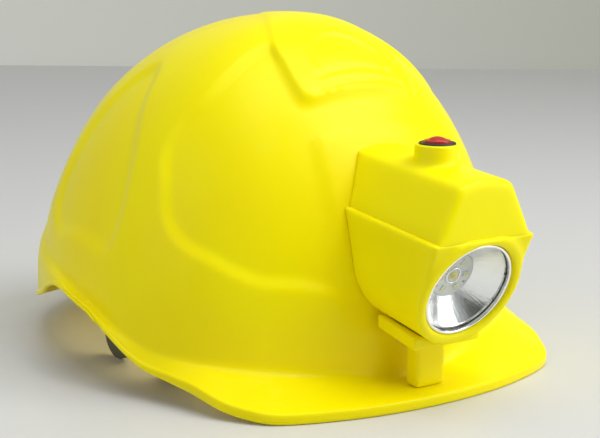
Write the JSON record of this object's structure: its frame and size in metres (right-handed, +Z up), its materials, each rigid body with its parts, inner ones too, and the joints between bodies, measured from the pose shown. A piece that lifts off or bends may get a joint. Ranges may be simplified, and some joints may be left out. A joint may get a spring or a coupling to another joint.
{
  "type": "miner's cap lamp",
  "caption": "Hard hat with a rechargeable LED lamp built onto its brow, a push switch on the lamp and a ratchet headband inside.",
  "frame": {"origin": "middle of the whole object's footprint, on the surface that it stands on", "axes": "+Z up, -Y out of the front of the cap (the way the lamp shines), +X towards the wearer's left"},
  "size_m": [0.2172, 0.2893, 0.1575],
  "materials": {
    "cap_yellow": "glossy moulded plastic",
    "lamp_yellow": "glossy moulded plastic",
    "mirror_chrome": "vacuum-metallised mirror",
    "silver_trim": "bright plated",
    "clear_lens": "clear polycarbonate",
    "black_rubber": "soft matt",
    "board_white": "white solder mask",
    "board_green": "green solder mask",
    "led_phosphor": "phosphor gel",
    "aluminium": "as cast",
    "steel": "zinc plated",
    "brass": "plated strip",
    "black_plastic": "satin moulded plastic",
    "red_plastic": "glossy moulded plastic",
    "red_insulation": "wire insulation",
    "cell_wrap": "shrink sleeve",
    "dark_olive_plastic": "satin moulded plastic",
    "pad_fabric": "brushed knit over foam",
    "webbing": "woven tape"
  },
  "bodies": {
    "cap": {"helmet_shell": "cap_yellow", "key_pockets": "cap_yellow", "support_post": "cap_yellow", "lamp_upper_housing": "lamp_yellow", "lamp_lower_housing": "lamp_yellow", "foot_plate": "lamp_yellow", "post_screw": "steel", "foot_screws": "steel", "mount_screws": "steel", "ratchet_screws": "steel", "trim_ring": "silver_trim", "lens": "clear_lens", "lens_seal": "black_rubber", "reflector": "mirror_chrome", "led_board": "board_white", "main_led": "led_phosphor", "led_ring": "silver_trim", "side_leds": "led_phosphor", "heat_sink": "aluminium", "switch_bezel": "black_plastic", "switch_spring": "steel", "switch_body": "black_plastic", "switch_terminals": "brass", "battery_cells": "cell_wrap", "battery_cradle": "black_plastic", "battery_contacts": "brass", "driver_board": "board_green", "driver_chips": "black_plastic", "charging_jack": "black_plastic", "lead_red": "red_insulation", "lead_black": "black_plastic", "headband": "dark_olive_plastic", "ratchet_base": "dark_olive_plastic", "ratchet_cover": "dark_olive_plastic", "brow_pad": "pad_fabric", "nape_pad": "pad_fabric", "crown_strap_lower": "webbing", "crown_strap_upper": "webbing", "hanger_keys": "dark_olive_plastic"},
    "switch_button": {"switch_button": "red_plastic"},
    "knob": {"ratchet_knob": "black_plastic", "ratchet_pinion": "dark_olive_plastic"},
    "strap_left": {"nape_strap_left": "dark_olive_plastic"},
    "strap_right": {"nape_strap_right": "dark_olive_plastic"}
  },
  "joints": [
    {"name": "switch_press", "type": "slide", "parent": "cap", "child": "switch_button", "axis": [0, 0, -1], "range_m": [0, 0.0016], "stiffness_N_per_m": 350, "springref_m": -0.002, "deforming": ["switch_spring"]},
    {"name": "ratchet_turn", "type": "hinge", "parent": "cap", "child": "knob", "pos_m": [0, 0.11826, 0.039], "axis": [0, 1, 0], "range_deg": [-120, 120]},
    {"name": "strap_left_slide", "type": "hinge", "parent": "cap", "child": "strap_left", "pos_m": [0, 0.02826, 0.039], "axis": [0, 0, 1], "range_deg": [-6, 6]},
    {"name": "strap_right_slide", "type": "hinge", "parent": "cap", "child": "strap_right", "pos_m": [0, 0.02826, 0.039], "axis": [0, 0, 1], "range_deg": [-6, 6]}
  ],
  "couplings": [
    {"joint": "strap_left_slide", "follows": "ratchet_turn", "ratio": -0.04896},
    {"joint": "strap_right_slide", "follows": "ratchet_turn", "ratio": 0.047904}
  ]
}
